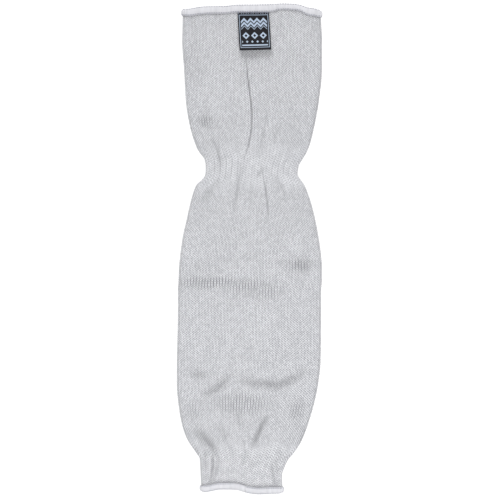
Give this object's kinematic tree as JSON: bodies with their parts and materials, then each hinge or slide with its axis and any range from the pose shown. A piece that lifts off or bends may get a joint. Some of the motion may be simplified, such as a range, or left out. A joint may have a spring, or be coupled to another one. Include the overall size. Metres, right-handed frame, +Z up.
{
  "type": "cut resistant sleeve",
  "caption": "Knitted cut resistant arm sleeve lying flat, with a gathered elastic waist, a narrow wrist, overlocked edges and a small woven label.",
  "frame": {"origin": "on the surface the sleeve lies on, under the middle of its length and width", "axes": "+X across the sleeve, +Y from the wrist end to the upper-arm end that has the label, +Z up out of the layer that the label is on"},
  "size_m": [0.1353, 0.457, 0.0193],
  "materials": {
    "knit": "matte heather knit",
    "binding_thread": "matte thread",
    "label_weave": "satin weave"
  },
  "bodies": {
    "root": {"knitted_tube": "knit", "upper_edge_binding": "binding_thread", "wrist_edge_binding": "binding_thread", "woven_label": "label_weave"}
  },
  "joints": []
}
